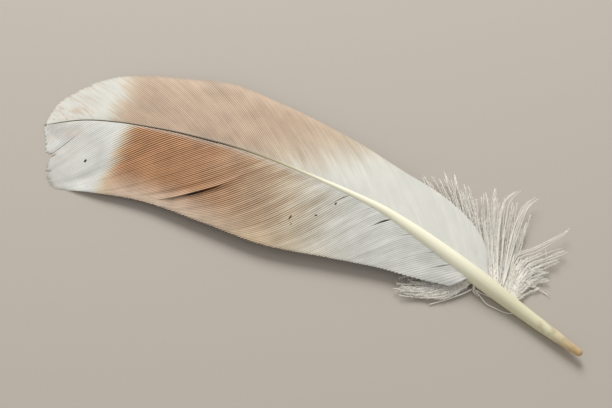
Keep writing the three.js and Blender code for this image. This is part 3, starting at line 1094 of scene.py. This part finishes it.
class FEATHER_OT_down(bpy.types.Operator):
    """Builds the two tufts of down with their long single threads"""

    bl_idname = "feather.down"
    bl_label = "Build down"

    def execute(self, context):
        sizes = context.scene.feather_sizes
        colours = context.scene.feather_colours
        length = sizes.barbule_length / MM
        material = down_keratin("down_keratin", tuple(colours.down), linear("#f2eee6"))
        mesh = build_tuft("down_outer_threads", OUTER_DOWN, sizes.barbules, length)
        add_piece("down_outer_threads", mesh, material, "down", "down_outer")
        mesh = build_tuft("down_inner_threads", INNER_DOWN, sizes.barbules, length)
        add_piece("down_inner_threads", mesh, material, "down", "down_inner")
        return {"FINISHED"}


class FEATHER_OT_specks(bpy.types.Operator):
    """Lays the specks of dirt on the inner vane"""

    bl_idname = "feather.specks"
    bl_label = "Lay specks"

    def execute(self, context):
        vane = bpy.data.objects.get("inner_vane_barbs")
        if vane is None:
            raise RuntimeError("build the vanes before the specks that lie on them")
        material = speck_dirt("dried_dirt", tuple(context.scene.feather_colours.dirt))
        add_piece("specks", build_specks("specks", vane), material, None)
        return {"FINISHED"}


class FEATHER_OT_stage(bpy.types.Operator):
    """Sets the paper floor, the soft lights and the camera"""

    bl_idname = "feather.stage"
    bl_label = "Set stage"

    def execute(self, context):
        scene = context.scene
        stage = scene.feather_stage
        bm = bmesh.new()
        below = Matrix.Translation((0, 0, -0.02 * MM))
        bmesh.ops.create_grid(bm, x_segments=1, y_segments=1, size=2.0, matrix=below)
        floor_mesh = mesh_from(bm, "floor")
        floor_mesh.materials.append(
            studio_paper("studio_paper", tuple(scene.feather_colours.floor))
        )
        floor = bpy.data.objects.new("floor", floor_mesh)
        scene.collection.objects.link(floor)

        world = bpy.data.worlds.new("studio")
        world.use_nodes = True
        background = world.node_tree.nodes["Background"]
        background.inputs["Color"].default_value = (*linear("#f4f3f1"), 1)
        background.inputs["Strength"].default_value = stage.sky
        scene.world = world

        light = bpy.data.lights.new("key", "AREA")
        light.shape = "DISK"
        light.size = 0.45
        light.energy = stage.key_power
        key = bpy.data.objects.new("key", light)
        key.location = (-0.30, 0.50, 0.55)
        key.rotation_euler = (-key.location).to_track_quat("-Z", "Y").to_euler()
        scene.collection.objects.link(key)

        lens = bpy.data.cameras.new("camera")
        lens.lens = stage.lens
        lens.sensor_width = 36
        lens.clip_start = 0.01
        camera = bpy.data.objects.new("camera", lens)
        target = Vector((-5.5, -2.3, 0)) * MM  # the middle of the view, on the floor
        forward = Vector((0, math.cos(stage.elevation), -math.sin(stage.elevation)))
        upright = Vector((0, math.sin(stage.elevation), math.cos(stage.elevation)))
        roll = stage.roll
        right = Vector((1, 0, 0)) * math.cos(roll) + upright * math.sin(roll)
        up = right.cross(forward)
        axes = Matrix((right, up, -forward)).transposed().to_4x4()
        camera.matrix_world = Matrix.Translation(target - forward * stage.distance) @ axes
        scene.collection.objects.link(camera)
        scene.camera = camera
        scene.view_settings.view_transform = "Standard"
        return {"FINISHED"}


class FEATHER_PT_sidebar(bpy.types.Panel):
    """The feather's sizes and colours, and a button for each step"""

    bl_label = "Feather"
    bl_space_type = "VIEW_3D"
    bl_region_type = "UI"
    bl_category = "Feather"

    def draw(self, context):
        scene = context.scene
        for title, settings in (
            ("Sizes", scene.feather_sizes),
            ("Colours", scene.feather_colours),
            ("Stage", scene.feather_stage),
        ):
            box = self.layout.box()
            box.label(text=title)
            for name in settings.__annotations__:
                box.prop(settings, name)
        for operator in OPERATORS:
            self.layout.operator(operator.bl_idname)


OPERATORS = (
    FEATHER_OT_shaft, FEATHER_OT_vanes, FEATHER_OT_down, FEATHER_OT_specks, FEATHER_OT_stage
)
SETTINGS = {
    "feather_sizes": FeatherSizes,
    "feather_colours": FeatherColours,
    "feather_stage": FeatherStage,
}


def register():
    for kind in (*SETTINGS.values(), *OPERATORS, FEATHER_PT_sidebar):
        bpy.utils.register_class(kind)
    for name, kind in SETTINGS.items():
        setattr(bpy.types.Scene, name, PointerProperty(type=kind))


def unregister():
    for name in SETTINGS:
        delattr(bpy.types.Scene, name)
    for kind in (FEATHER_PT_sidebar, *reversed(OPERATORS), *SETTINGS.values()):
        bpy.utils.unregister_class(kind)


def main():
    register()
    bpy.ops.feather.shaft()
    bpy.ops.feather.vanes()
    bpy.ops.feather.down()
    bpy.ops.feather.specks()
    bpy.ops.feather.stage()
    bpy.context.view_layer.update()


if __name__ == "__main__":
    main()
